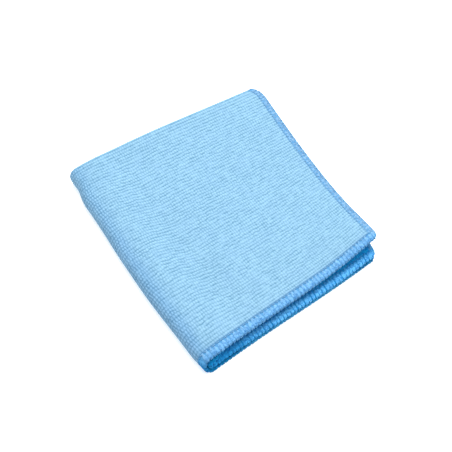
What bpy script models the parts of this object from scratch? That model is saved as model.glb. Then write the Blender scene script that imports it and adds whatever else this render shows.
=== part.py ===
# Microfibre cloth folded in four, built as one ribbed sheet.
#
# The sheet is folded twice. The first fold is at the back and brings the cloth to two plies. The
# second fold is at the left and wraps that doubled cloth round itself, so the stack has four plies:
# the outer ply of the doubled cloth is the top and the bottom one, and its inner ply lies between.
# Every point of the sheet is found from two distances measured on the cloth, one from each fold.
#
# +X runs along the front hems to the right, +Y to the back fold and +Z up. The origin is on the
# surface that the cloth lies on, under the middle of its outline.

from collections import namedtuple
import math

import bmesh
import bpy
import numpy as np

# Driving dimensions, in metres.
WIDTH = 0.150            # folded size from the left fold to the right hems
DEPTH = 0.150            # folded size from the front hems to the back fold
SHEET = 0.0024           # thickness of the pressed pile and its ground together
PLY_GAP = 0.0008         # air between two plies
HEM = 0.0042             # width of the overlocked edge in front, which has no ribs
SIDE_HEM = 0.0036        # the same at the right, where it was sewn a little narrower
RIB_COUNT = 66           # ribs from the front hem of the top ply to the back fold
RIB_HEIGHT = 0.0004      # from the valley to the crest of a rib
BACK_SLIP = 0.0015       # how far the lower half of the back fold lies in front of the upper one
CORNER_RADIUS = 0.0022   # rounding of the cloth's four corners
FOLD_END_RADIUS = 0.0063  # rounding in plan where the back fold ends at the right hem
SHORT_POWER = 10         # a ply's right edge leaves its line only close to the front, as a high power

# Steps of the grid.
FIRST_BEND_CELLS = 8
SECOND_BEND_CELLS = 8
INNER_PLY_CELLS = 7
UPPER_COLUMNS = (0.008, 0.019, 0.034, 0.062, 0.092, 0.117)  # distances from the second bend
LOWER_COLUMNS = (0.070,)
HEM_STEP = 0.0015        # the ribs rise to their full height this far inside a hem

# Sizes that follow from them.
PLY_STEP = SHEET + PLY_GAP
FIRST_RADIUS = PLY_STEP / 2
SECOND_RADIUS = PLY_STEP
FIRST_HALF_BEND = math.pi / 2 * FIRST_RADIUS
SECOND_HALF_BEND = math.pi / 2 * SECOND_RADIUS
FIRST_CENTRE_Y = DEPTH - FIRST_RADIUS - SHEET / 2
SECOND_CENTRE_X = 1.5 * PLY_STEP + SHEET / 2
SECOND_CENTRE_Z = 1.5 * PLY_STEP + SHEET / 2
RUN_ACROSS = WIDTH - SECOND_CENTRE_X
RUN_ALONG = FIRST_CENTRE_Y

# The outline in plan, pulled out of square as the cloth was put down. A bow is one half wave along
# a side and a sway one full wave. Both are positive to the right or to the back.
Corner = namedtuple("Corner", "x y")
FRONT_LEFT = Corner(0.0010, -0.0017)
FRONT_RIGHT = Corner(0.1446, 0.0097)
BACK_RIGHT = Corner(0.1518, 0.1626)
BACK_LEFT = Corner(-0.0034, 0.1688)

Side = namedtuple("Side", "bow sway")
FRONT = Side(-0.0003, 0.0005)
RIGHT = Side(-0.0028, -0.0002)
BACK = Side(0.0017, 0.0005)
LEFT = Side(-0.0033, 0.0006)

# Where the plies end: how far a ply's front hem lies in front of the outline at its left and its right
# end, how far it bows forward between them, and how much it is shorter at its front and at its back.
Ply = namedtuple("Ply", "forward_left forward_right bow short_front short_back")
TOP = Ply(0.0, 0.0, 0.0005, 0.0, 0.0)
SECOND = Ply(0.0024, -0.0110, -0.0060, 0.0020, 0.0)
THIRD = Ply(0.0027, 0.0066, 0.0, 0.0048, 0.0025)
BOTTOM = Ply(0.0039, 0.0072, -0.0003, 0.0050, 0.0030)

# Where the stack is fuller or flatter than the plies alone: the middle of each place, its reach, and
# the share by which all heights grow there.
Swell = namedtuple("Swell", "x y reach_x reach_y rise")
SWELLS = (
    Swell(-0.002, 0.070, 0.011, 0.120, -0.12),    # the left fold, pressed flatter
    Swell(0.017, 0.075, 0.012, 0.200, 0.08),      # ridge beside it
    Swell(0.038, 0.060, 0.012, 0.070, -0.08),     # trough beside the ridge
    Swell(0.150, 0.000, 0.027, 0.027, 0.48),      # front right corner, where the hems fan open
    Swell(0.004, 0.000, 0.020, 0.020, -0.08),     # front left corner, where the hems close up
    Swell(0.080, 0.150, 0.080, 0.012, 0.10),      # ridge along the back fold
    Swell(0.100, 0.075, 0.030, 0.040, -0.06),     # slack in the middle
)

# Where the cloth was drawn a little to the left, or to the right where the reach is below 0: the
# middle of each place, how long and how wide it fades out, and its reach.
Poke = namedtuple("Poke", "x y length width reach")
POKES = (
    Poke(0.0, 0.150, 0.012, 0.020, 0.0009),       # left fold: the cloth's centre, at the back corner
    Poke(0.0, 0.137, 0.004, 0.010, -0.0006),      # pinch just in front of it
    Poke(0.0, 0.125, 0.007, 0.012, 0.0008),
    Poke(0.0, 0.099, 0.012, 0.012, -0.0004),
    Poke(0.0, 0.047, 0.022, 0.012, 0.0008),
    Poke(0.0, -0.004, 0.007, 0.012, -0.0018),     # its end at the front hems
    Poke(0.150, 0.152, 0.0075, 0.040, 0.0051),    # end of the back fold, drawn in with its hem
)


def clear_scene():
    for old in list(bpy.data.objects):
        bpy.data.objects.remove(old, do_unlink=True)


def smooth_step(value):
    """0 up to 0, 1 from 1 on, and a soft rise between."""
    value = np.clip(value, 0.0, 1.0)
    return value * value * (3.0 - 2.0 * value)


def across_stations():
    """Distances from the middle of the second fold: below 0 on the lower half, above on the upper."""
    bend = np.linspace(-SECOND_HALF_BEND, SECOND_HALF_BEND, SECOND_BEND_CELLS + 1)
    hem_line = RUN_ACROSS - SIDE_HEM
    upper = SECOND_HALF_BEND + np.array((*UPPER_COLUMNS, hem_line - HEM_STEP, hem_line, RUN_ACROSS))
    lower = SECOND_HALF_BEND + np.array((*LOWER_COLUMNS, RUN_ACROSS))
    return np.concatenate((-lower[::-1], bend, upper))


def along_stations():
    """Distances from the middle of the first fold: below 0 on the inner ply, above on the outer."""
    bend = np.linspace(-FIRST_HALF_BEND, FIRST_HALF_BEND, FIRST_BEND_CELLS + 1)
    hem_line = RUN_ALONG - HEM
    ribs = FIRST_HALF_BEND + np.linspace(0.0, hem_line, 2 * RIB_COUNT + 1)[1:]
    outer = np.append(ribs, FIRST_HALF_BEND + RUN_ALONG)
    inner = FIRST_HALF_BEND + np.linspace(0.0, hem_line, INNER_PLY_CELLS + 1)[1:]
    inner = np.append(inner, FIRST_HALF_BEND + RUN_ALONG)
    return np.concatenate((-inner[::-1], bend, outer))


def rounded(x, y, corner_x, corner_y, radius):
    """Draws the square corner in to a quarter circle, as a square is mapped to a disc."""
    u = np.clip((x - corner_x) / radius + 1.0, 0.0, 1.0)
    v = np.clip((y - corner_y) / radius + 1.0, 0.0, 1.0)
    pull_x = u * (1.0 - np.sqrt(1.0 - v * v / 2))
    pull_y = v * (1.0 - np.sqrt(1.0 - u * u / 2))
    return x - radius * pull_x, y - radius * pull_y


def outline(x, y):
    """Moves the square block into the real outline: a patch blended from its four bowed sides."""
    s = x / WIDTH
    t = y / DEPTH

    def side_offset(side, share):
        share = np.clip(share, 0.0, 1.0)
        return side.bow * np.sin(math.pi * share) + side.sway * np.sin(2 * math.pi * share)

    corners = []
    for axis in (0, 1):
        front = FRONT_LEFT[axis] * (1 - s) + FRONT_RIGHT[axis] * s
        back = BACK_LEFT[axis] * (1 - s) + BACK_RIGHT[axis] * s
        corners.append(front * (1 - t) + back * t)
    plan_x = corners[0] + side_offset(LEFT, t) * (1 - s) + side_offset(RIGHT, t) * s
    plan_y = corners[1] + side_offset(FRONT, s) * (1 - t) + side_offset(BACK, s) * t
    return plan_x, plan_y


def ply_value(values, lower, inner):
    """Blends one value of each ply: lower is 0 on the upper half of the cloth and 1 on the lower."""
    top, second, third, bottom = values
    outer_value = (1 - lower) * top + lower * bottom
    inner_value = (1 - lower) * second + lower * third
    return np.where(inner, inner_value, outer_value)


def sheet_points(across, along):
    """The middle of the sheet at the given distances from the two folds, as x, y and z."""
    run_x = np.maximum(np.abs(across) - SECOND_HALF_BEND, 0.0)
    run_y = np.maximum(np.abs(along) - FIRST_HALF_BEND, 0.0)
    run_x, run_y = rounded(run_x, run_y, RUN_ACROSS, RUN_ALONG, CORNER_RADIUS)
    turn_x = np.clip(across, -SECOND_HALF_BEND, SECOND_HALF_BEND) / SECOND_RADIUS
    turn_y = np.clip(along, -FIRST_HALF_BEND, FIRST_HALF_BEND) / FIRST_RADIUS
    share_x = run_x / RUN_ACROSS
    share_y = run_y / RUN_ALONG
    lower = smooth_step(0.5 - 0.5 * across / SECOND_HALF_BEND)
    inner = along < 0.0

    # The first fold gives each point its place in the doubled cloth, which the second fold bends.
    out = FIRST_RADIUS * np.sin(turn_y) + rib_rise(along, run_x) * (1 - lower)
    y = FIRST_CENTRE_Y + FIRST_RADIUS * np.cos(turn_y) - run_y
    x = SECOND_CENTRE_X + run_x - (SECOND_RADIUS + out) * np.cos(turn_x)
    z = SECOND_CENTRE_Z + (SECOND_RADIUS + out) * np.sin(turn_x)

    # The plies don't end at one line.
    plies = (TOP, SECOND, THIRD, BOTTOM)
    forward_left = ply_value([ply.forward_left for ply in plies], lower, inner)
    forward_right = ply_value([ply.forward_right for ply in plies], lower, inner)
    bow = ply_value([ply.bow for ply in plies], lower, inner)
    short_front = ply_value([ply.short_front for ply in plies], lower, inner)
    short_back = ply_value([ply.short_back for ply in plies], lower, inner)
    forward = forward_left + (forward_right - forward_left) * share_x + bow * np.sin(math.pi * share_x)
    y = y - forward * share_y - BACK_SLIP * lower * (1 - share_y)
    x = x - (short_back + (short_front - short_back) * share_y ** SHORT_POWER) * share_x

    # The stack swells and sags, with the bottom ply flat on the surface.
    growth = np.ones_like(x)
    for swell in SWELLS:
        away = ((x - swell.x) / swell.reach_x) ** 2 + ((y - swell.y) / swell.reach_y) ** 2
        growth = growth + swell.rise * np.exp(-away)
    z = SHEET / 2 + (z - SHEET / 2) * growth

    for poke in POKES:
        away = ((y - poke.y) / poke.length) ** 2 + ((x - poke.x) / poke.width) ** 2
        x = x - poke.reach * np.exp(-away)
    x, y = rounded(x, y, WIDTH, DEPTH, FOLD_END_RADIUS)
    plan_x, plan_y = outline(x, y)
    return np.stack((plan_x, plan_y, z), axis=-1)


def rib_rise(along, run_x):
    """Height of the ribs: crests and valleys in turn on the outer ply, none on the hems."""
    pitch = (RUN_ALONG - HEM) / RIB_COUNT
    from_fold = along - FIRST_HALF_BEND
    ribbed = (from_fold > 0.0) & (from_fold < RUN_ALONG - HEM)
    wave = np.cos(2 * math.pi * from_fold / pitch)
    inside_hem = np.clip((RUN_ACROSS - SIDE_HEM - run_x) / HEM_STEP, 0.0, 1.0)
    return np.where(ribbed, -0.5 * RIB_HEIGHT * wave, 0.0) * inside_hem


def centred(points):
    """Puts the origin under the middle of the outline. The bends stand half a sheet proud."""
    low = points.reshape(-1, 3).min(axis=0) - (SHEET / 2, 0.0, 0.0)
    high = points.reshape(-1, 3).max(axis=0) + (0.0, SHEET / 2, 0.0)
    middle = (low + high) / 2
    middle[2] = 0.0
    return points - middle


def make_material():
    material = bpy.data.materials.new("sky_blue_microfibre")
    material.use_nodes = True
    shader = material.node_tree.nodes["Principled BSDF"]
    shader.inputs["Base Color"].default_value = (0.33, 0.64, 0.90, 1.0)
    shader.inputs["Roughness"].default_value = 0.95
    shader.inputs["Metallic"].default_value = 0.0
    return material


def make_cloth(collection):
    across = across_stations()
    along = along_stations()
    grid_across, grid_along = np.meshgrid(across, along)
    points = centred(sheet_points(grid_across, grid_along)).reshape(-1, 3)

    mesh = bpy.data.meshes.new("cloth")
    sheet = bmesh.new()
    bmesh.ops.create_grid(sheet, x_segments=len(across) - 1, y_segments=len(along) - 1, size=0.5)
    for vert, point in zip(sheet.verts, points):
        vert.co = point
    bmesh.ops.recalc_face_normals(sheet, faces=sheet.faces)
    sheet.to_mesh(mesh)
    sheet.free()
    mesh.shade_smooth()

    cloth = bpy.data.objects.new("cloth", mesh)
    cloth.data.materials.append(make_material())
    collection.objects.link(cloth)
    thickness = cloth.modifiers.new("sheet", "SOLIDIFY")
    thickness.thickness = SHEET
    thickness.offset = 0.0
    thickness.use_even_offset = True
    return cloth


def main():
    clear_scene()
    collection = bpy.data.collections.new("microfibre_cloth")
    bpy.context.scene.collection.children.link(collection)
    make_cloth(collection)


main()
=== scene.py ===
import math

import bpy
import numpy as np
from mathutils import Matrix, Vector


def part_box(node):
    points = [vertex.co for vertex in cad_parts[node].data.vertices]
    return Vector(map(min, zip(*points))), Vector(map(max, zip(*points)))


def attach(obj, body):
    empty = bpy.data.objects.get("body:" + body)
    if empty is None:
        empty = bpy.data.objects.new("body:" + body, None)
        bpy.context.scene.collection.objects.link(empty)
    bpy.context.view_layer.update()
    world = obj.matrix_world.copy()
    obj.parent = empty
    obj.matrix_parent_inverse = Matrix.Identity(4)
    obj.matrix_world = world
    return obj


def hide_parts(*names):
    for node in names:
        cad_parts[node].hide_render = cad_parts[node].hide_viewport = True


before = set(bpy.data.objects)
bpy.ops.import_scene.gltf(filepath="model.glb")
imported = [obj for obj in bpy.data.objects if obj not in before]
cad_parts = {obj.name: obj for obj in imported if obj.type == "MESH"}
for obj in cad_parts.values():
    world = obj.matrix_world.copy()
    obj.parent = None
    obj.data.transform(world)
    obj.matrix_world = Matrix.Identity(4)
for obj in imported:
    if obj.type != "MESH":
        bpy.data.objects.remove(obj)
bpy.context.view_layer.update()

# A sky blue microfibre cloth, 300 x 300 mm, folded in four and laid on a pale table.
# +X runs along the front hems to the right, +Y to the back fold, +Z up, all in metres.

scene = bpy.context.scene
scene.view_settings.view_transform = "Standard"


def placeAround(holder, azimuth, elevation, distance, target=(0.0, 0.0, 0.0)):
    # At the target plus the distance times the direction of both angles, looking back at the target.
    # Azimuth 0 is straight in front of the cloth, and from there it counts to the right.
    a = math.radians(azimuth)
    e = math.radians(elevation)
    back = Vector((math.sin(a) * math.cos(e), -math.cos(a) * math.cos(e), math.sin(e)))
    holder.location = Vector(target) + back * distance
    holder.rotation_euler = (-back).to_track_quat("-Z", "Y").to_euler()
    scene.collection.objects.link(holder)


camera = dict(
    azimuth=-32.5, elevation=60.0, distance=0.480, lookAt=(-0.0027, -0.0051, 0.0), lens=55.43, nearest=0.01,
)


def makeCamera():
    # high up beyond the front left corner, aimed at the middle of the cloth
    data = bpy.data.cameras.new("productCamera")
    data.lens = camera["lens"]
    data.clip_start = camera["nearest"]
    holder = bpy.data.objects.new("productCamera", data)
    placeAround(holder, camera["azimuth"], camera["elevation"], camera["distance"], camera["lookAt"])
    scene.camera = holder


# The folded cloth. A corner is its place on the table, and a side has a bow of one half wave and a sway
# of one full wave. A ply row is how far its front hem lies forward at the left and at the right, how far
# it bows forward between them, and how much shorter the ply is in front and at the back. A poke row is
# x, y, the reach along y and along x, and how far the cloth is drawn out to the left. A swell row is
# x, y, the reach along x and along y, and the rise.
fold = dict(
    width=0.150, depth=0.150, sheet=0.0024, gap=0.0008, hem=0.0042, sideHem=0.0036, ribs=66,
    backSlip=0.0015, cornerRadius=0.0022, foldEndRadius=0.0063,
    frontLeft=(0.0010, -0.0017), frontRight=(0.1446, 0.0097),
    backRight=(0.1518, 0.1626), backLeft=(-0.0034, 0.1688),
    front=(-0.0003, 0.0005), right=(-0.0028, -0.0002), back=(0.0017, 0.0005), left=(-0.0033, 0.0006),
    topPly=(0.0, 0.0, 0.0005, 0.0, 0.0), secondPly=(0.0024, -0.0110, -0.0060, 0.0020, 0.0),
    thirdPly=(0.0027, 0.0066, 0.0, 0.0048, 0.0025), bottomPly=(0.0039, 0.0072, -0.0003, 0.0050, 0.0030),
    shortPower=10,
    pokes=(
        (0.0, 0.150, 0.012, 0.020, 0.0009),       # left fold: the cloth's centre, at the back corner
        (0.0, 0.137, 0.004, 0.010, -0.0006),      # pinch just in front of it
        (0.0, 0.125, 0.007, 0.012, 0.0008),       # soft waves further on
        (0.0, 0.099, 0.012, 0.012, -0.0004),
        (0.0, 0.047, 0.022, 0.012, 0.0008),
        (0.0, -0.004, 0.007, 0.012, -0.0018),     # its end at the front hems
        (0.150, 0.152, 0.0075, 0.040, 0.0051),    # end of the back fold, drawn in with its hem
    ),
    swells=(
        (-0.002, 0.070, 0.011, 0.120, -0.12),     # the left fold, pressed flatter
        (0.017, 0.075, 0.012, 0.200, 0.08),       # ridge beside it
        (0.038, 0.060, 0.012, 0.070, -0.08),      # trough beside the ridge
        (0.150, 0.000, 0.027, 0.027, 0.48),       # front right corner, where the hems fan open
        (0.004, 0.000, 0.020, 0.020, -0.08),      # front left corner, where the hems close up
        (0.080, 0.150, 0.080, 0.012, 0.10),       # ridge along the back fold
        (0.100, 0.075, 0.030, 0.040, -0.06),      # slack in the middle
    ),
)
plyStep = fold["sheet"] + fold["gap"]
firstRadius = plyStep / 2                         # the back fold, made first
secondRadius = plyStep                            # the left fold, which wraps the doubled cloth
firstHalf = math.pi / 2 * firstRadius             # half of each bend's own length
secondHalf = math.pi / 2 * secondRadius
firstCentreY = fold["depth"] - firstRadius - fold["sheet"] / 2
secondCentre = 1.5 * plyStep + fold["sheet"] / 2
runAcross = fold["width"] - secondCentre          # the flat stretch of a ply beyond each bend
runAlong = firstCentreY
acrossEnd = secondHalf + runAcross
alongEnd = firstHalf + runAlong
ribPitch = (runAlong - fold["hem"]) / fold["ribs"]


def smoothStep(value):
    value = np.clip(value, 0.0, 1.0)              # 0 up to 0, 1 from 1 on, a soft rise between
    return value * value * (3.0 - 2.0 * value)


def bell(value):
    return np.exp(-value ** 2)                    # 1 at 0, falling softly to 0 on both sides


def blend(start, end, share):
    return start + (end - start) * share          # the start, and the share of the way to the end


def roundCorner(x, y, cornerX, cornerY, radius):
    # draws a square corner in to a quarter circle, as a square is mapped to a disc
    u = np.clip((x - cornerX) / radius + 1.0, 0.0, 1.0)
    v = np.clip((y - cornerY) / radius + 1.0, 0.0, 1.0)
    pullX = u * (1.0 - np.sqrt(1.0 - v * v / 2))
    pullY = v * (1.0 - np.sqrt(1.0 - u * u / 2))
    return x - radius * pullX, y - radius * pullY


def drawnOutline(x, y):
    # the square block pulled into the real outline: a patch blended from its four bowed sides
    s = x / fold["width"]
    t = y / fold["depth"]

    def offset(side, share):
        bow, sway = fold[side]
        share = np.clip(share, 0.0, 1.0)
        return bow * np.sin(math.pi * share) + sway * np.sin(2 * math.pi * share)

    ends = []
    for axis in (0, 1):
        front = fold["frontLeft"][axis] * (1 - s) + fold["frontRight"][axis] * s
        back = fold["backLeft"][axis] * (1 - s) + fold["backRight"][axis] * s
        ends.append(front * (1 - t) + back * t)
    planX = ends[0] + offset("left", t) * (1 - s) + offset("right", t) * s
    planY = ends[1] + offset("front", s) * (1 - t) + offset("back", s) * t
    return planX, planY


def lowerShare(across):
    # 0 on the two upper plies and 1 on the two lower ones, with a soft change round the left fold
    return smoothStep(0.5 - 0.5 * across / secondHalf)


def middleOfSheet(across, along):
    # The two bends one after the other: the first gives a point its height in the doubled cloth, the
    # second bends that round the left fold. Then the plies slip, the stack swells and the outline is drawn.
    runX = np.maximum(np.abs(across) - secondHalf, 0.0)
    runY = np.maximum(np.abs(along) - firstHalf, 0.0)
    runX, runY = roundCorner(runX, runY, runAcross, runAlong, fold["cornerRadius"])
    turnX = np.clip(across, -secondHalf, secondHalf) / secondRadius
    turnY = np.clip(along, -firstHalf, firstHalf) / firstRadius
    shareX = runX / runAcross
    shareY = runY / runAlong
    lower = lowerShare(across)

    out = firstRadius * np.sin(turnY)
    y = firstCentreY + firstRadius * np.cos(turnY) - runY
    x = secondCentre + runX - (secondRadius + out) * np.cos(turnX)
    z = secondCentre + (secondRadius + out) * np.sin(turnX)

    rows = [fold[ply] for ply in ("topPly", "secondPly", "thirdPly", "bottomPly")]
    top, second, third, bottom = np.array(rows)
    outer = blend(top, bottom, lower[..., None])
    inner = blend(second, third, lower[..., None])
    ply = np.where((along < 0.0)[..., None], inner, outer)
    aheadLeft, aheadRight, bow, shortFront, shortBack = np.moveaxis(ply, -1, 0)
    forward = blend(aheadLeft, aheadRight, shareX) + bow * np.sin(math.pi * shareX)
    y = y - forward * shareY - fold["backSlip"] * lower * (1 - shareY)
    x = x - blend(shortBack, shortFront, shareY ** fold["shortPower"]) * shareX

    growth = np.ones_like(x)
    for swellX, swellY, reachX, reachY, rise in fold["swells"]:
        growth = growth + rise * bell((x - swellX) / reachX) * bell((y - swellY) / reachY)
    z = fold["sheet"] / 2 + (z - fold["sheet"] / 2) * growth

    for pokeX, pokeY, reachY, reachX, drawn in fold["pokes"]:
        x = x - drawn * bell((y - pokeY) / reachY) * bell((x - pokeX) / reachX)
    x, y = roundCorner(x, y, fold["width"], fold["depth"], fold["foldEndRadius"])
    planX, planY = drawnOutline(x, y)
    return np.stack((planX, planY, z), axis=-1)


def unit(vectors):
    # each vector over its length
    return vectors / np.maximum(np.linalg.norm(vectors, axis=-1, keepdims=True), 1e-12)


def sheetAt(across, along):
    # Place, normal and way out of the cut edge. The normal is the cross product of the two slopes, by
    # central differences, and both are read a little inside the edge, where the corners are round.
    across, along = np.broadcast_arrays(across, along)
    inset = 0.0006                                # how far inside the edge the slopes are read
    probe = 0.00005                               # half the step of a difference
    a = np.clip(across, -acrossEnd + inset, acrossEnd - inset)
    b = np.clip(along, -alongEnd + inset, alongEnd - inset)
    slopeA = middleOfSheet(a + probe, b) - middleOfSheet(a - probe, b)
    slopeB = middleOfSheet(a, b + probe) - middleOfSheet(a, b - probe)
    # across runs from the fold to the right on the upper half, along from the back to the front
    normal = unit(np.cross(slopeB, slopeA))
    place = middleOfSheet(across, along)
    outward = unit(place - middleOfSheet(a, b))
    return place + shiftToModel, normal, outward


# The terry pile: ribs along the back fold, made of short loops, each a little higher or lower. Lengths are
# in metres on the flat sheet, and the others are shares or counts. A pair of values is blended.
pile = dict(
    ribHeight=0.00050, ribRoundness=0.50, valleyShare=(0.36, 0.98), valleyRamp=(1.06, 0.90),
    loopPitch=0.0017, loopNotch=(0.44, 0.57), loopSpread=0.24, loopPatch=0.009,
    loopDrift=1.6, driftRibs=1.7, driftPitch=0.023,
    # round the left fold the pile is lower, and it opens between the loops
    bendShare=0.55, turnStretch=0.62, turnNotch=0.30, notchAt=0.0035, notchReach=0.0045,
    # painted shade on the left fold's side turned away from the light: its middle, its reach, and how strong
    # from the back to the front
    foldShadeAt=0.0038, foldShadeReach=0.0056, foldShadeRamp=(0.60, 1.05),      # open from the back to the front
    # the hems; a pair goes from the side edges to the rest
    hemPressed=0.08, hemLineDepth=0.00030, hemLineWidth=0.0008, hemRise=0.0005, sideRise=0.0030,
    frontRise=0.006, hemOver=(0.00150, 0.00054), hemFade=(0.00400, 0.00128),
    # where the covered plies begin, round the left fold and past the back fold
    coverTurn=0.9, coverRise=0.004, betweenRise=0.002,
    # rows that wander, waver and step forward
    wander=0.00045, wanderPitch=0.040, jag=0.00048, jagPitch=0.0026, jagRibs=1.5,
    calmHem=0.020, calmFold=0.010,
    kinkAt=0.032, kinkLean=-0.09, kinkHalf=0.015, kinkStep=0.0050, kinkLeft=-0.0015, kinkEnds=0.060,
    # the mesh: an edge turn is its angle and its share of painted shade, which tints it as a covered hem
    rowsPerRib=4, backBendRibs=2, columnStep=0.00057, leftBendColumns=30, lowerColumns=14,
    innerPlyRows=16, everyInner=4, hemSteps=(0.1, 0.3, 0.6, 1.0),
    edgeTurns=((35.0, 0.0), (-35.0, 0.7), (-90.0, 1.0)),
    # each noise has the seed plus its number in this row, and enters its table at the value given
    seed=7, noiseRows=97, noiseColumns=101,
    noiseStarts=dict(drift=20, spread=300, wander=9, patch=40, dash=500, jag=300),
)


def edgeDistance(across, along):
    # to the nearest cut edge; the side hems are sewn a little narrower, so they count for more
    side = (acrossEnd - np.abs(across)) * fold["hem"] / fold["sideHem"]
    return np.minimum(side, alongEnd - np.abs(along))


def frontShare(across):
    # 1 inside and along the front hems, falling to 0 at the side edges
    return smoothStep((acrossEnd - np.abs(across)) / pile["frontRise"])


def towardsFront(along):
    # 0 up to the back fold, rising evenly to 1 at the front edge of an outer ply
    return np.clip((along - firstHalf) / runAlong, 0.0, 1.0)


def underAnotherPly(across, along):
    # 0 on the top ply, 1 on the three below it
    turned = smoothStep(pile["coverTurn"] - across / secondHalf)
    return np.maximum(turned, smoothStep(-along / pile["coverRise"]))


def hemLine(across, along):
    # the line of needle holes inside the hem: a bell over the distance to it, fainter at the sides
    fromLine = edgeDistance(across, along) - fold["hem"]
    return bell(fromLine / pile["hemLineWidth"]) * frontShare(across)


def halfThickness(across, along):
    # full inside, and pressed thinner by the sewing towards the cut edge
    pressed = smoothStep(1.0 - edgeDistance(across, along) / fold["hem"])
    return fold["sheet"] / 2 * (1.0 - pile["hemPressed"] * pressed)


def softNoise(kind, x, y):
    # random heights from 0 to 1 at whole numbers, with smooth steps between them
    seed = pile["seed"] + list(pile["noiseStarts"]).index(kind)
    rows = pile["noiseRows"]
    columns = pile["noiseColumns"]
    table = np.random.default_rng(seed).random((rows, columns))
    x = x + pile["noiseStarts"][kind]
    y = y + pile["noiseStarts"][kind]
    row = np.floor(x).astype(int)
    column = np.floor(y).astype(int)
    pastRow = smoothStep(x - row)
    pastColumn = smoothStep(y - column)
    near = blend(table[row % rows, column % columns], table[(row + 1) % rows, column % columns], pastRow)
    column = column + 1
    far = blend(table[row % rows, column % columns], table[(row + 1) % rows, column % columns], pastRow)
    return blend(near, far, pastColumn)


def pileFade(across, along):
    # the pile ends at the front hems and thins out over the side hems
    front = smoothStep((alongEnd - fold["hem"] - np.abs(along)) / pile["hemRise"])
    side = smoothStep((acrossEnd - fold["sideHem"] - np.abs(across)) / pile["sideRise"] + 1.0)
    return front * side


def pileAt(across, along):
    # Height of the pile from 0 in a valley to 1 on a crest: a rounded wave over each rib times a
    # notch between neighbouring loops, whose heights are random. It fades out on the hems.
    fromFold = along - firstHalf
    bendRib = np.clip(along + firstHalf, 0.0, 2 * firstHalf) / (2 * firstHalf) * pile["backBendRibs"]
    rib = np.where(fromFold < 0, bendRib - pile["backBendRibs"], fromFold / ribPitch)
    ribNumber = np.floor(rib + 1e-6)              # a row on the border belongs to the next rib

    # the outside of the left fold is longer than its middle, so more loops stand there
    skin = across + pile["turnStretch"] * np.clip(across, -secondHalf, secondHalf)
    drift = softNoise("drift", ribNumber / pile["driftRibs"], across / pile["driftPitch"])
    loop = skin / pile["loopPitch"] + pile["loopDrift"] * drift
    notch = (0.5 + 0.5 * np.cos(2 * math.pi * loop)) ** 2
    # in places the loops stand apart and in others they close up to a plain rib
    patch = softNoise("patch", across / pile["loopPatch"], along / pile["loopPatch"])
    notchDepth = blend(*pile["loopNotch"], patch)
    notchDepth = notchDepth + pile["turnNotch"] * bell((across - pile["notchAt"]) / pile["notchReach"])

    # a valley is a row of deep and shallow dashes, all a little shallower towards the front
    dash = softNoise("dash", np.floor(rib + 0.5), loop)
    valleyDepth = blend(*pile["valleyShare"], dash) * blend(*pile["valleyRamp"], towardsFront(along))
    wave = np.abs(np.sin(math.pi * rib)) ** pile["ribRoundness"]
    wave = 1.0 - valleyDepth * (1.0 - wave)
    spread = softNoise("spread", ribNumber, loop) - 0.5
    height = wave * (1.0 - notchDepth * notch + pile["loopSpread"] * spread)
    return np.where(along < -firstHalf, 0.5, height) * pileFade(across, along)


def bentRows(across, along):
    # Ribs don't run dead straight. The rows wander and waver a little by two noises, and beside the left
    # fold they step forward over a slanting band. All of it ends at the front hem and at the back fold.
    calm = smoothStep(edgeDistance(across, along) / pile["calmHem"])
    calm = calm * smoothStep((np.abs(along) - firstHalf) / pile["calmFold"])
    wander = 2 * softNoise("wander", across / pile["wanderPitch"], along / pile["wanderPitch"]) - 1
    jag = 2 * softNoise("jag", across / pile["jagPitch"], along / (pile["jagRibs"] * ribPitch)) - 1
    fromFold = along - firstHalf
    fromHem = alongEnd - fold["hem"] - along
    near = np.clip(np.minimum(fromFold, fromHem) / pile["kinkEnds"], 0.0, 1.0)
    middle = secondHalf + pile["kinkAt"] + pile["kinkLean"] * (runAlong - fromFold)
    step = smoothStep(0.5 + (across - middle) / (2 * pile["kinkHalf"]))
    kink = (pile["kinkLeft"] + pile["kinkStep"] * step) * (1 - (1 - near) ** 2)
    return along + (pile["wander"] * wander + pile["jag"] * jag) * calm + kink


def outerSide(across, along):
    # The ribbed side: the middle of the sheet plus its normal times half the thickness and the relief.
    # The relief stands half out of the sheet on the upper plies and lies within it on the lower ones.
    height = pileAt(across, along)
    bend = smoothStep(1.5 - across / secondHalf)  # 1 round the left fold and below it
    rise = height - 0.5 - 0.5 * lowerShare(across)
    relief = pile["ribHeight"] * blend(1.0, pile["bendShare"], bend) * rise
    relief = relief * pileFade(across, along) - pile["hemLineDepth"] * hemLine(across, along)
    place, normal, outward = sheetAt(across, bentRows(across, along))
    lift = halfThickness(across, along) + relief
    return place + normal * lift[..., None], height


def makeMesh(name, points, faces):
    # faces is a list of whole arrays, one row of corners for each face
    sizes = np.concatenate([np.full(len(block), block.shape[1]) for block in faces])
    corners = np.concatenate([block.ravel() for block in faces]).astype(np.int32)
    mesh = bpy.data.meshes.new(name)
    mesh.vertices.add(len(points))
    mesh.vertices.foreach_set("co", points.astype(np.float32).ravel())
    mesh.loops.add(len(corners))
    mesh.loops.foreach_set("vertex_index", corners)
    mesh.polygons.add(len(sizes))
    mesh.polygons.foreach_set("loop_start", (np.cumsum(sizes) - sizes).astype(np.int32))
    mesh.update(calc_edges=True)
    mesh.validate()
    mesh.shade_smooth()
    return mesh, corners


def addPlaceMap(mesh, corners, place):
    # two distances on the piece itself, in metres, for the patterns that follow it
    layer = mesh.uv_layers.new(name="place")
    layer.uv.foreach_set("vector", place[corners].astype(np.float32).ravel())


def addMask(mesh, name, values):
    # one value for each point, which a material reads by its name
    mask = mesh.attributes.new(name, "FLOAT", "POINT")
    mask.data.foreach_set("value", values.astype(np.float32).ravel())


def addPiece(name, mesh, material):
    # every piece rides on the part's one body
    piece = bpy.data.objects.new(name, mesh)
    mesh.materials.append(material)
    scene.collection.objects.link(piece)
    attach(piece, "root")
    return piece


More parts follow.
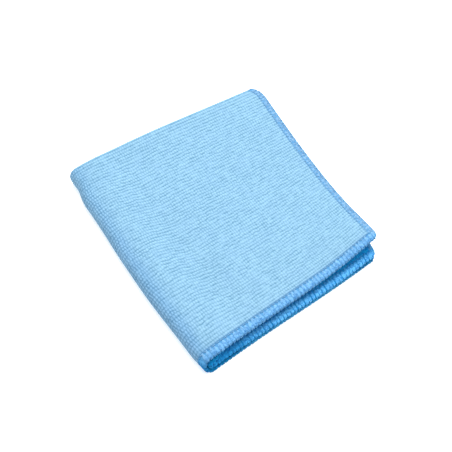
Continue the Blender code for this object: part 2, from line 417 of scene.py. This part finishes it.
def gridQuads(numbers):
    # the four corners of each cell of a grid of vertex numbers
    corners = (numbers[:-1, :-1], numbers[:-1, 1:], numbers[1:, 1:], numbers[1:, :-1])
    return np.stack(corners, -1).reshape(-1, 4)


def plyStations(bend, run, hem, cells):
    # even steps from the end of a bend to the hem, then the steps of the hem
    field = run - hem
    steps = np.linspace(0, field, cells + 1)[1:]
    return bend + np.concatenate((steps, field + hem * np.array(pile["hemSteps"])))


def clothStations():
    # the columns and rows of the sheet's grid: a ply, a bend and a ply, each way
    upperColumns = round((runAcross - fold["sideHem"]) / pile["columnStep"])
    upper = plyStations(secondHalf, runAcross, fold["sideHem"], upperColumns)
    lower = plyStations(secondHalf, runAcross, fold["sideHem"], pile["lowerColumns"])
    bend = np.linspace(-secondHalf, secondHalf, pile["leftBendColumns"] + 1)
    across = np.concatenate((-lower[::-1], bend, upper))

    outer = plyStations(firstHalf, runAlong, fold["hem"], fold["ribs"] * pile["rowsPerRib"])
    inner = plyStations(firstHalf, runAlong, fold["hem"], pile["innerPlyRows"])
    bend = np.linspace(-firstHalf, firstHalf, pile["backBendRibs"] * pile["rowsPerRib"] + 1)
    along = np.concatenate((-inner[::-1], bend, outer))
    return across, along


def keptNumbers(count):
    # every so manyth row or column between the hems, and the inner line of each hem
    hemCells = len(pile["hemSteps"])
    inside = np.arange(hemCells, count - hemCells, pile["everyInner"])
    return np.unique(np.append(inside, count - 1 - hemCells))


def makeCloth(material):
    # one closed sheet: the ribbed side as a fine grid, the cut edge in rings, the plain side coarser
    across, along = clothStations()
    gridAcross, gridAlong = np.meshgrid(across, along)
    rows, columns = gridAcross.shape
    numbers = np.arange(rows * columns).reshape(rows, columns)
    faces = [gridQuads(numbers)]
    parts = []

    def addPoints(places, acrossThere, alongThere, height, underShade):
        # a row for each point: its place, its two distances on the sheet, the pile's height, its share of
        # painted shade
        more = np.broadcast_arrays(acrossThere, alongThere, height, underShade)
        parts.append(np.column_stack([places.reshape(-1, 3), *(values.ravel() for values in more)]))

    top, height = outerSide(gridAcross, gridAlong)
    addPoints(top, gridAcross, gridAlong, height, 0.0)

    # the cut edge is half round: middle + outward x cosine + normal x sine, times half the thickness
    ring = np.concatenate((numbers[0], numbers[1:, -1], numbers[-1, -2::-1], numbers[-2:0:-1, 0]))
    ringAcross = gridAcross.ravel()[ring]
    ringAlong = gridAlong.ravel()[ring]
    edge, normal, outward = sheetAt(ringAcross, ringAlong)
    half = halfThickness(ringAcross, ringAlong)[:, None]
    last = ring
    total = rows * columns
    for angle, underShade in pile["edgeTurns"]:
        turn = math.radians(angle)
        places = edge + half * (outward * math.cos(turn) + normal * math.sin(turn))
        addPoints(places, ringAcross, ringAlong, 0.0, underShade)
        fresh = np.arange(total, total + len(ring))
        faces.append(np.stack((last, fresh, np.roll(fresh, -1), np.roll(last, -1)), -1))
        total += len(ring)
        last = fresh

    # the plain side, with fewer rows and columns, meets the fine edge in faces of several corners
    keptRows = keptNumbers(rows)
    keptColumns = keptNumbers(columns)
    inAcross, inAlong = np.meshgrid(across[keptColumns], along[keptRows])
    places, normal, outward = sheetAt(inAcross, inAlong)
    places = places - normal * halfThickness(inAcross, inAlong)[..., None]
    # the plain side takes the full painted shade
    addPoints(places, inAcross, inAlong, 0.5, 1.0)
    inside = np.arange(total, total + inAcross.size).reshape(inAcross.shape)
    faces.append(gridQuads(inside)[:, ::-1])
    marks = np.concatenate((
        keptColumns,
        columns - 1 + keptRows,
        rows + columns - 2 + (columns - 1 - keptColumns)[::-1],
        rows + 2 * columns - 3 + (rows - 1 - keptRows)[::-1],
    ))
    border = np.concatenate((inside[0], inside[:, -1], inside[-1, ::-1], inside[::-1, 0]))
    for start, end, here, ahead in zip(marks, np.roll(marks, -1), border, np.roll(border, -1)):
        steps = (start + np.arange((end - start) % len(ring) + 1)) % len(ring)
        inner = [here] if here == ahead else [ahead, here]
        faces.append(np.concatenate((last[steps], inner))[None, ::-1])

    points = np.concatenate(parts)
    mesh, corners = makeMesh("microfibreSheet", points[:, :3], faces)
    addPlaceMap(mesh, corners, points[:, 3:5])
    across, along, height, underShade = points[:, 3:].T
    front = frontShare(across)
    intoHem = fold["hem"] + blend(*pile["hemOver"], front) - edgeDistance(across, along)
    covered = underAnotherPly(across, along)
    # the left fold's painted shade, stronger towards the front
    foldShadeStrength = blend(*pile["foldShadeRamp"], towardsFront(along))
    addMask(mesh, "pile", height)
    addMask(mesh, "hem", smoothStep(intoHem / blend(*pile["hemFade"], front)))
    # the inner plies, which take the painted shade of the gaps
    addMask(mesh, "between", smoothStep((-along - firstHalf) / pile["betweenRise"]))
    addMask(mesh, "seam", hemLine(across, along) * (1 - covered))
    # covered carries painted shade onto the hem colour: under another ply, on the cut edge's lower half and
    # on the plain side
    addMask(mesh, "covered", np.maximum(covered, underShade))
    addMask(mesh, "turn", foldShadeStrength * bell((across - pile["foldShadeAt"]) / pile["foldShadeReach"]))
    return addPiece("microfibreSheet", mesh, material)


# The overlock sewing round the cut edge, its lengths in metres on the cloth, the rest in shares.
sewing = dict(
    pitch=0.00284, reach=0.0037, halfWidth=0.00062, halfHeight=0.00014, yarnGirth=0.0025,
    square=0.80, paired=0.50, roundEnds=0.97, sideHeight=0.45, cornerGap=0.0012,
    # one leg from the rim, 0, to its hole, 1: heights and widths are shares of the yarn's half ones
    legHeight=0.75, holeSunk=0.65, sunkPower=6, rimHeight=1.2, rimReach=0.3,
    legWidth=0.78, petalWidth=0.82, petalAt=0.62, petalReach=0.26, holeDrawn=0.35, drawnPower=10,
    unevenPlace=0.16, unevenReach=0.16, unevenWidth=0.30, seed=21,
    samples=28, sides=6, rimSamples=1500, softAngle=100.0,
)
needle = dict(
    inFrom=0.0040, halfWidth=0.00026, halfHeight=0.00020, dip=0.00060, stray=0.00012,
    roundness=0.6, standsOut=0.6, thinnest=0.7, endGap=1.5, samples=5, sides=5,
)
# What tints the yarn, as masks on the strands: where a mask begins, how soon it is full and how strong it is.
# All but the pale mask are painted shade.
shading = dict(
    frontPale=0.45, sidePale=0.42, sideRim=0.62, belowTurn=0.2,
    foldEnd=0.0575, foldFade=0.050, deepShadeShare=0.5,
    cornerStart=0.024, cornerFade=0.010, cornerTurn=0.1, cornerShadeShare=0.9,
    lowHeight=0.00256, lowFade=0.0016,
)
yarnMasks = ("covered", "pale", "tuckedShade", "dim", "below")
# a hem is the distance that ends there, and which end: outer and inner front hem, upper and lower side hem
hemSides = (("along", 1), ("along", -1), ("across", 1), ("across", -1))
rimArc = math.pi / 2 * fold["sheet"] / 2 * (1 - pile["hemPressed"])      # from the rim's middle to a face


def hemShades(axis, across, along, girth, inward, height):
    # The five masks: covered under another ply, pale towards the pile, tucked deep in the gap near the
    # left fold or the right corner, dim near the table and on the side rims, below on a rim's underside.
    # All but pale are painted shade; dim is a painted contact shadow at the table and painted shade on the
    # rims.
    covered = underAnotherPly(across, along)
    depth = smoothStep(inward / fold["hem"])
    underside = -girth / rimArc
    nearFold = smoothStep((shading["foldEnd"] + secondHalf - np.abs(across)) / shading["foldFade"])
    tuckedShade = covered * np.maximum(nearFold, shading["deepShadeShare"] * depth)
    dim = smoothStep((shading["lowHeight"] - height) / shading["lowFade"])
    below = smoothStep(shading["belowTurn"] + underside) * (1 - dim)
    pale = depth * (1 - covered)
    if axis == "along":
        pale = pale * shading["frontPale"]
        nearCorner = smoothStep((np.abs(across) - acrossEnd + shading["cornerStart"]) / shading["cornerFade"])
        nearCorner = nearCorner * smoothStep(shading["cornerTurn"] + underside)
        tuckedShade = np.maximum(tuckedShade, shading["cornerShadeShare"] * nearCorner * covered)
    else:
        pale = pale * shading["sidePale"]
        dim = np.maximum(dim, shading["sideRim"] * (1 - depth))
    return np.stack((covered * (1 - below), pale, tuckedShade, dim, below), -1)


def hemPoint(side, distance, girth, lift):
    # A point on the hem's skin: girth runs from below the hem round the cut edge (0) to its upper
    # side, distance along the edge. Beyond the rim it lies flat on the sheet, on the rim it turns.
    axis, sign = side
    inward = np.maximum(np.abs(girth) - rimArc, 0.0)
    if axis == "along":
        across, along = distance, sign * (alongEnd - inward)
    else:
        across, along = sign * (acrossEnd - inward), distance
    middle, normal, outward = sheetAt(across, along)
    turn = np.clip(girth / rimArc, -1, 1) * math.pi / 2
    skin = outward * np.cos(turn)[:, None] + normal * np.sin(turn)[:, None]
    skin = np.where((inward > 0)[:, None], normal * np.sign(girth)[:, None], skin)
    place = middle + skin * (halfThickness(across, along) + lift)[:, None]
    return place, skin, hemShades(axis, across, along, girth, inward, place[:, 2])


def hemRun(side):
    # distances along a hem beside the length of its rim up to there, so that the stitches are spaced
    # on the cloth as it lies, also round a fold
    end = (acrossEnd if side[0] == "along" else alongEnd) - sewing["cornerGap"]
    distance = np.linspace(-end, end, sewing["rimSamples"])
    rim = hemPoint(side, distance, np.zeros(len(distance)), 0.0)[0]
    steps = np.linalg.norm(np.diff(rim, axis=0), axis=1)
    return distance, np.concatenate(([0.0], np.cumsum(steps)))


def sideFit(side):
    # how high the yarn stands and how deep the hem is, against the front hems
    if side[0] == "along":
        return 1.0, 1.0
    return sewing["sideHeight"], fold["sideHem"] / fold["hem"]


def sweptStrand(line, skin, shades, halfWidth, halfHeight, sides):
    # a flattened round section carried along the line, flat on the skin: the line plus sideways x
    # cosine x half width plus up x sine x half height
    ahead = unit(np.gradient(line, axis=0))
    sideways = unit(np.cross(ahead, skin))
    up = np.cross(sideways, ahead)
    turn = np.arange(sides) / sides * 2 * math.pi
    points = (
        line[:, None, :]
        + sideways[:, None, :] * (np.cos(turn)[None, :] * halfWidth[:, None])[..., None]
        + up[:, None, :] * (np.sin(turn)[None, :] * halfHeight[:, None])[..., None]
    )
    numbers = np.arange(points.shape[0] * sides).reshape(-1, sides)
    wrapped = np.concatenate((numbers, numbers[:, :1]), axis=1)
    faces = [gridQuads(wrapped), numbers[:1], numbers[-1:, ::-1]]
    length = np.concatenate(([0.0], np.cumsum(np.linalg.norm(np.diff(line, axis=0), axis=1))))
    girth = turn[None, :] / (2 * math.pi) * sewing["yarnGirth"]
    place = np.stack(np.broadcast_arrays(length[:, None], girth), -1)
    return points.reshape(-1, 3), faces, place.reshape(-1, 2), np.repeat(shades, sides, axis=0)


def joinStrands(name, strands, material):
    # the strands of all hems in one mesh, their vertex numbers counted on from one to the next
    faces = []
    total = 0
    for strand in strands:
        faces.extend(block + total for block in strand[1])
        total += len(strand[0])
    points, places, shades = (np.concatenate([strand[part] for strand in strands]) for part in (0, 2, 3))
    points[:, 2] = np.maximum(points[:, 2], 0.0)                         # pressed flat on the table
    mesh, corners = makeMesh(name, points, faces)
    mesh.set_sharp_from_angle(angle=math.radians(sewing["softAngle"]))   # the flat yarn has two soft faces
    addPlaceMap(mesh, corners, places)
    for mask, values in zip(yarnMasks, shades.T):
        addMask(mesh, mask, values)
    return addPiece(name, mesh, material)


def makeLooperThread(material):
    # The thread runs from a needle hole on one face round the cut edge to the next one on the other
    # face and back. Its girth is a zigzag with rounded ends, the arc sine of a cosine, and its legs
    # stand square to the edge, narrow at the holes and wide between hole and rim.
    strands = []
    rng = np.random.default_rng(sewing["seed"])
    for side in hemSides:
        flatter, narrower = sideFit(side)
        marks, length = hemRun(side)
        stitches = round(length[-1] / sewing["pitch"])
        t = np.linspace(0, stitches, stitches * sewing["samples"] + 1)
        legs = np.arange(2 * stitches + 1) / 2

        def uneven(share):
            return np.interp(t, legs, rng.uniform(-1, 1, len(legs))) * share

        # square holds the thread back on each leg, and paired draws two legs together
        squared = t + sewing["square"] * np.sin(4 * math.pi * t) / (4 * math.pi)
        squared = squared - sewing["paired"] * np.sin(2 * math.pi * t) / (2 * math.pi)
        share = (squared + uneven(sewing["unevenPlace"])) / stitches
        distance = np.interp(share * length[-1], length, marks)
        zigzag = np.arcsin(sewing["roundEnds"] * np.cos(2 * math.pi * t)) / math.asin(sewing["roundEnds"])
        inward = sewing["reach"] * (1 + uneven(sewing["unevenReach"])) * narrower

        # it sinks in at the holes and stands up on the rim
        height = sewing["legHeight"] - sewing["holeSunk"] * zigzag ** sewing["sunkPower"]
        height = height + sewing["rimHeight"] * bell(zigzag / sewing["rimReach"])
        lift = sewing["halfHeight"] * height * flatter
        line, skin, shades = hemPoint(side, distance, (rimArc + inward) * zigzag, lift)

        # it is drawn thin at the holes and spreads like a petal on the way to the rim
        petal = bell((np.abs(zigzag) - sewing["petalAt"]) / sewing["petalReach"])
        width = sewing["legWidth"] + sewing["petalWidth"] * petal
        width = width - sewing["holeDrawn"] * zigzag ** sewing["drawnPower"]
        full = 1 + uneven(sewing["unevenWidth"])
        halfWidth = sewing["halfWidth"] * full * width
        halfHeight = sewing["halfHeight"] * full * flatter
        strands.append(sweptStrand(line, skin, shades, halfWidth, halfHeight, sewing["sides"]))
    return joinStrands("overlockLoops", strands, material)


def makeNeedleThread(material):
    # One line of stitches inside the hem on either face: a rounded cosine over the skin, which dips into
    # the cloth once a stitch, halfway between the looper's ends on the ribbed side.
    strands = []
    rng = np.random.default_rng(sewing["seed"] + 1)
    for side in hemSides:
        flatter, narrower = sideFit(side)
        marks, length = hemRun(side)
        stitches = round(length[-1] / sewing["pitch"])
        holes = np.arange(stitches + 1)
        sewn = stitches - 2 * needle["endGap"]
        t = np.linspace(needle["endGap"], needle["endGap"] + sewn, round(sewn * needle["samples"]) + 1)
        distance = np.interp(t / stitches * length[-1], length, marks)
        bulge = np.abs(np.cos(math.pi * t)) ** needle["roundness"]
        lift = blend(-needle["dip"], needle["standsOut"] * flatter * needle["halfHeight"], bulge)
        thickness = blend(needle["thinnest"], 1.0, bulge)
        for face in (1, -1):
            stray = np.interp(t, holes, rng.uniform(-1, 1, stitches + 1)) * needle["stray"]
            girth = face * (rimArc + needle["inFrom"] * narrower + stray)
            line, skin, shades = hemPoint(side, distance, girth, lift)
            halfWidth = needle["halfWidth"] * thickness
            halfHeight = needle["halfHeight"] * thickness
            strands.append(sweptStrand(line, skin, shades, halfWidth, halfHeight, needle["sides"]))
    return joinStrands("needleLine", strands, material)


def addNode(tree, kind, **settings):
    # a new node, its settings named as its properties are
    node = tree.nodes.new(kind)
    for key, value in settings.items():
        setattr(node, key, value)
    return node


def mathNode(tree, operation, first, second=None):
    # a number goes on the socket itself, another node's output is linked to it
    node = addNode(tree, "ShaderNodeMath", operation=operation)
    for socket, value in zip(node.inputs, (first, second)):
        if isinstance(value, (int, float)):
            socket.default_value = value
        elif value is not None:
            tree.links.new(value, socket)
    return node.outputs[0]


def clampShare(tree, value):
    # the value, no lower than 0 and no higher than 1
    return mathNode(tree, "MINIMUM", mathNode(tree, "MAXIMUM", value, 0.0), 1.0)


def fromMiddle(tree, value, middle, share):
    # how far the value lies from the middle, times the share
    return mathNode(tree, "MULTIPLY", mathNode(tree, "SUBTRACT", value, middle), share)


def mixColour(tree, factor, first, second, kind="MIX"):
    # the factor and both colours are values or outputs
    node = addNode(tree, "ShaderNodeMix", data_type="RGBA", blend_type=kind)
    sockets = [s for s in node.inputs if s.enabled]
    for socket, value in zip(sockets, (factor, first, second)):
        if isinstance(value, (int, float)):
            socket.default_value = value
        elif isinstance(value, tuple):
            socket.default_value = (*value, 1.0)
        else:
            tree.links.new(value, socket)
    return [s for s in node.outputs if s.enabled][0]


def maskNode(tree, name):
    # the mask of that name, from the mesh's own points
    return addNode(tree, "ShaderNodeAttribute", attribute_name=name).outputs["Fac"]


def tinted(tree, mask, colour, tint):
    # the colour times the tint, as far as the mask says
    return mixColour(tree, maskNode(tree, mask), colour, mixColour(tree, 1.0, colour, tint, "MULTIPLY"))


# Microfibre seen close, both noises from 0 to 1: Shade is a soft mottle over some loops, Tangle the fine
# tangle of fibres. A row is its scale's name, its own name, the scale to the metre, detail and roughness.
fibreNoises = (("Mottle Scale", "Shade", 90.0, 3.0, 0.6), ("Fibre Scale", "Tangle", 1900.0, 4.0, 0.7))


def makeFibreGroup():
    # each noise is read on the piece's own place map
    group = bpy.data.node_groups.new("microfibre", "ShaderNodeTree")
    socket = group.interface.new_socket
    socket(name="Place", in_out="INPUT", socket_type="NodeSocketVector")
    for scaleName, name, scale, detail, roughness in fibreNoises:
        socket(name=scaleName, in_out="INPUT", socket_type="NodeSocketFloat").default_value = scale
        socket(name=name, in_out="OUTPUT", socket_type="NodeSocketFloat")
    inward = group.nodes.new("NodeGroupInput")
    outward = group.nodes.new("NodeGroupOutput")
    for scaleName, name, scale, detail, roughness in fibreNoises:
        noise = addNode(group, "ShaderNodeTexNoise", noise_dimensions="2D")
        noise.inputs["Detail"].default_value = detail
        noise.inputs["Roughness"].default_value = roughness
        group.links.new(inward.outputs["Place"], noise.inputs["Vector"])
        group.links.new(inward.outputs[scaleName], noise.inputs["Scale"])
        group.links.new(noise.outputs["Fac"], outward.inputs[name])
    return group


def startMaterial(name, finish):
    # the place map and the shared fibre group, with the finish's own mottle
    material = bpy.data.materials.new(name)
    material.use_nodes = True
    tree = material.node_tree
    place = addNode(tree, "ShaderNodeUVMap", uv_map="place").outputs["UV"]
    fibres = addNode(tree, "ShaderNodeGroup")
    fibres.node_tree = fibreGroup
    fibres.inputs["Mottle Scale"].default_value = finish["mottleScale"]
    tree.links.new(place, fibres.inputs["Place"])
    return material, tree, place, fibres.outputs["Shade"], fibres.outputs["Tangle"]


def finishMaterial(tree, finish, colour, uneven, relief):
    # colour, roughness plus its spread times uneven, sheen, and a bump by relief
    shader = tree.nodes["Principled BSDF"]
    spread = mathNode(tree, "MULTIPLY", uneven, finish["roughnessSpread"])
    rough = mathNode(tree, "ADD", finish["roughness"], spread)
    bump = addNode(tree, "ShaderNodeBump")
    bump.inputs["Strength"].default_value = finish["bump"]
    bump.inputs["Distance"].default_value = finish["bumpDepth"]
    tree.links.new(relief, bump.inputs["Height"])
    tree.links.new(colour, shader.inputs["Base Color"])
    tree.links.new(rough, shader.inputs["Roughness"])
    tree.links.new(bump.outputs["Normal"], shader.inputs["Normal"])
    shader.inputs["Specular IOR Level"].default_value = finish["specular"]
    shader.inputs["Sheen Weight"].default_value = finish["sheen"]
    shader.inputs["Sheen Roughness"].default_value = finish["sheenRoughness"]
    shader.inputs["Sheen Tint"].default_value = (*finish["sheenTint"], 1.0)


terry = dict(
    # the crest colour is the pile's own, the darker valley colour is painted shade in the rib hollows
    crest=(0.247, 0.440, 0.594), valley=(0.068, 0.182, 0.292), violet=(0.200, 0.355, 0.555),
    # the hem colours are darker than the pile: painted shade under the threads
    hemLight=(0.110, 0.300, 0.530), hemDark=(0.055, 0.210, 0.420), seam=(0.030, 0.140, 0.320),
    # the two colours between the plies are painted shade of the gaps
    between=(0.014, 0.550, 1.000), betweenDeep=(0.000, 0.080, 0.400),
    # the next two tints are painted shade: the hem in shade and the left fold's side turned from the light
    shadedHemTint=(0.11, 0.78, 1.04), turned=(0.80, 0.87, 0.97),
    mottleScale=90.0, grainScale=900.0, grainDetail=1.0, grainShare=0.42, tangleShare=0.7,
    violetFrom=0.42, violetShare=0.5, betweenContrast=5.0, seamShare=0.7,
    roughness=0.82, roughnessSpread=0.15, specular=0.12, bump=0.45, bumpDepth=0.0004,
    sheen=0.06, sheenRoughness=0.45, sheenTint=(0.75, 0.92, 1.0),
)


def makeTerryMaterial():
    # crests lighter and valleys darker by the pile's own height, the valleys' darkness painted shade, with a
    # mottle and a fibre tangle
    material, tree, place, shade, tangle = startMaterial("skyBlueTerry", terry)
    grains = addNode(tree, "ShaderNodeTexNoise", noise_dimensions="2D")
    grains.inputs["Scale"].default_value = terry["grainScale"]
    grains.inputs["Detail"].default_value = terry["grainDetail"]
    tree.links.new(place, grains.inputs["Vector"])
    fine = fromMiddle(tree, tangle, 0.5, terry["tangleShare"])
    coarse = fromMiddle(tree, grains.outputs["Fac"], 0.5, terry["grainShare"])
    speckle = mathNode(tree, "ADD", fine, coarse)
    level = clampShare(tree, mathNode(tree, "ADD", maskNode(tree, "pile"), speckle))
    # painted shade: the lower the pile, the darker its colour
    field = mixColour(tree, level, terry["valley"], terry["crest"])
    violet = fromMiddle(tree, shade, terry["violetFrom"], terry["violetShare"])
    field = mixColour(tree, mathNode(tree, "MAXIMUM", violet, 0.0), field, terry["violet"])
    # painted shade round the left fold, on its side turned away from the light
    field = tinted(tree, "turn", field, terry["turned"])
    # painted shade between the plies: a deep pure blue with dark specks
    specks = mathNode(tree, "ADD", mathNode(tree, "MULTIPLY", speckle, terry["betweenContrast"]), 0.5)
    between = mixColour(tree, specks, terry["betweenDeep"], terry["between"])
    field = mixColour(tree, maskNode(tree, "between"), field, between)
    # the sheet under the threads: painted shade in the gaps between stitches, varied by the fibre tangle
    hem = mixColour(tree, tangle, terry["hemDark"], terry["hemLight"])
    # painted shade: the hem under another ply and on the cut edge's underside turns a deeper, purer blue
    hem = tinted(tree, "covered", hem, terry["shadedHemTint"])
    colour = mixColour(tree, maskNode(tree, "hem"), field, hem)
    seam = mathNode(tree, "MULTIPLY", maskNode(tree, "seam"), terry["seamShare"])
    colour = mixColour(tree, seam, colour, terry["seam"])
    finishMaterial(tree, terry, colour, tangle, tangle)
    return material


# The colours covered, below, tucked and dim multiply the yarn's own where the mask of that name is full: all
# are painted shade.
yarn = dict(
    light=(0.158, 0.388, 0.675), deep=(0.038, 0.160, 0.390),
    needleLight=(0.130, 0.330, 0.600), needleDeep=(0.045, 0.180, 0.420), inner=(0.260, 0.460, 0.620),
    covered=(0.84, 1.26, 1.33), below=(0.20, 1.00, 1.00), tuckedShade=(0.15, 0.60, 0.72), dim=(1.35, 0.83, 0.61),
    mottleScale=820.0, mottle=4.0, twist=2400.0, grooveFloor=0.4,
    roughness=0.65, roughnessSpread=0.2, specular=0.04, bump=0.6, bumpDepth=0.00015,
    sheen=0.02, sheenRoughness=0.5, sheenTint=(0.8, 0.92, 1.0),
)


def makeYarnMaterial(name, light, deep):
    # a textured thread: dark grooves of its twist, painted shade along a sine of length and turn, over
    # lighter fibres
    material, tree, place, shade, tangle = startMaterial(name, yarn)
    split = addNode(tree, "ShaderNodeSeparateXYZ")
    tree.links.new(place, split.inputs[0])
    along = mathNode(tree, "MULTIPLY", split.outputs["X"], yarn["twist"] * math.pi)
    around = mathNode(tree, "MULTIPLY", split.outputs["Y"], 4 * math.pi / sewing["yarnGirth"])
    groove = mathNode(tree, "ABSOLUTE", mathNode(tree, "SINE", mathNode(tree, "ADD", along, around)))
    level = mathNode(tree, "MULTIPLY", groove, mathNode(tree, "ADD", tangle, yarn["grooveFloor"]))
    level = mathNode(tree, "ADD", level, fromMiddle(tree, shade, 0.5, yarn["mottle"]))
    colour = mixColour(tree, clampShare(tree, level), deep, light)
    # towards the pile it takes on the pile's colour, and elsewhere it takes painted shade where a mask says
    colour = mixColour(tree, maskNode(tree, "pale"), colour, yarn["inner"])
    for mask in ("covered", "below", "tuckedShade", "dim"):
        colour = tinted(tree, mask, colour, yarn[mask])
    finishMaterial(tree, yarn, colour, shade, groove)
    return material


# The studio: a wide pale table, a white room and two soft lamps.
studio = dict(
    tableHalf=3.0, tableDrop=0.0001, tableShade=0.94, tableRoughness=0.9, tableGlow=0.50, room=0.55,
    lamps=(
        # azimuth, elevation, distance, size, watts
        (145.0, 58.0, 2.4, 1.4, 74.0),
        (70.0, 70.0, 2.6, 2.0, 32.0),
    ),
)


def makeTable():
    # one square face, a little under the cloth
    half = studio["tableHalf"]
    corners = np.array(((-half, -half), (half, -half), (half, half), (-half, half)))
    corners = np.column_stack((corners, np.full(4, -studio["tableDrop"])))
    mesh, numbers = makeMesh("table", corners, [np.arange(4)[None]])
    table = bpy.data.objects.new("table", mesh)
    scene.collection.objects.link(table)
    material = bpy.data.materials.new("paleTable")
    material.use_nodes = True
    shader = material.node_tree.nodes["Principled BSDF"]
    shade = studio["tableShade"]
    shader.inputs["Base Color"].default_value = (shade, shade, shade, 1.0)
    shader.inputs["Roughness"].default_value = studio["tableRoughness"]
    shader.inputs["Emission Color"].default_value = (1.0, 1.0, 1.0, 1.0)
    shader.inputs["Emission Strength"].default_value = studio["tableGlow"]
    mesh.materials.append(material)


def makeLights():
    # an even white room, and round soft lamps aimed at the cloth
    world = bpy.data.worlds.new("whiteRoom")
    world.use_nodes = True
    sky = world.node_tree.nodes["Background"]
    sky.inputs["Color"].default_value = (1.0, 1.0, 1.0, 1.0)
    sky.inputs["Strength"].default_value = studio["room"]
    scene.world = world
    for azimuth, elevation, distance, size, watts in studio["lamps"]:
        data = bpy.data.lights.new("softBox", "AREA")
        data.shape = "DISK"
        data.size = size
        data.energy = watts
        placeAround(bpy.data.objects.new("softBox", data), azimuth, elevation, distance)


def measureShift():
    # From the sheet's own frame, which starts at the front left of the block, to the model's: the middle
    # of the CAD box minus that of the sheet, whose two folds stand out by half its thickness.
    middle = middleOfSheet(*np.meshgrid(*clothStations())).reshape(-1, 3)
    low = middle.min(axis=0) - (fold["sheet"] / 2, 0, 0)
    high = middle.max(axis=0) + (0, fold["sheet"] / 2, 0)
    cadLow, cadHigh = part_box("cloth")
    shift = np.array((cadLow + cadHigh) / 2) - (low + high) / 2
    shift[2] = 0.0
    return shift


makeCamera()
print("camera placed")

shiftToModel = measureShift()
print("fold measured, shifted by", np.round(shiftToModel, 5))

fibreGroup = makeFibreGroup()
cloth = makeCloth(makeTerryMaterial())
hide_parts("cloth")
print("sheet made,", len(cloth.data.polygons), "faces")

loops = makeLooperThread(makeYarnMaterial("skyBlueYarn", yarn["light"], yarn["deep"]))
line = makeNeedleThread(makeYarnMaterial("deepBlueYarn", yarn["needleLight"], yarn["needleDeep"]))
print("sewing made,", len(loops.data.polygons) + len(line.data.polygons), "faces")

makeTable()
makeLights()
print("studio made")
